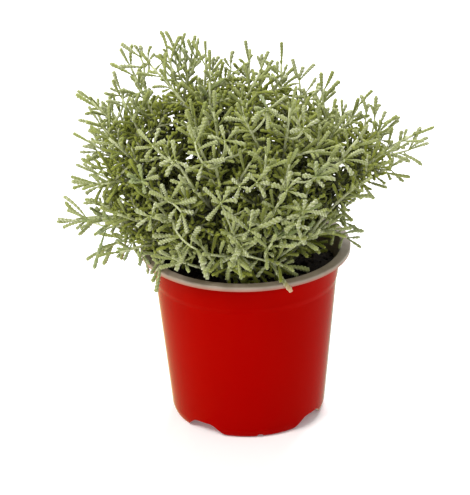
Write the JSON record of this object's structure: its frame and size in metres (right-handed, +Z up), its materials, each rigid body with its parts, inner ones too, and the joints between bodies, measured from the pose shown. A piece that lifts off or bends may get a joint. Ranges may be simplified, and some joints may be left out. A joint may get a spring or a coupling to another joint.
{
  "type": "potted cotton lavender",
  "caption": "Bushy cotton lavender with short felted grey-green leaves on spreading stems, growing in peat in a glossy red thin-walled grower's pot with a flanged rim.",
  "frame": {"origin": "middle of the object's box at its lowest, which is also the middle of the pot's foot, on the surface that the pot stands on", "axes": "+Z up along the pot's axis, -Y towards the viewer of the picture, +X to the viewer's right, towards the longer wing of the crown"},
  "size_m": [0.2307, 0.1783, 0.247],
  "materials": {
    "pot_plastic": "glossy red moulded plastic outside, greyish taupe on the rim and inside",
    "peat": "dark moist peat and bark crumb, matte",
    "foliage": "living stems and leaves under a pale grey-green felt of short hairs, matte"
  },
  "bodies": {
    "root": {"pot": "pot_plastic", "soil": "peat", "stem_01": "foliage", "stem_02": "foliage", "stem_03": "foliage", "stem_04": "foliage", "stem_05": "foliage", "stem_06": "foliage", "stem_07": "foliage", "stem_08": "foliage", "stem_09": "foliage", "stem_10": "foliage", "stem_11": "foliage", "stem_12": "foliage", "stem_13": "foliage", "stem_14": "foliage", "stem_15": "foliage", "stem_16": "foliage", "stem_17": "foliage", "stem_18": "foliage", "stem_19": "foliage", "stem_20": "foliage", "stem_21": "foliage", "stem_22": "foliage", "stem_23": "foliage", "stem_24": "foliage", "stem_25": "foliage", "stem_26": "foliage", "stem_27": "foliage", "stem_28": "foliage", "stem_29": "foliage", "stem_30": "foliage"}
  },
  "joints": []
}
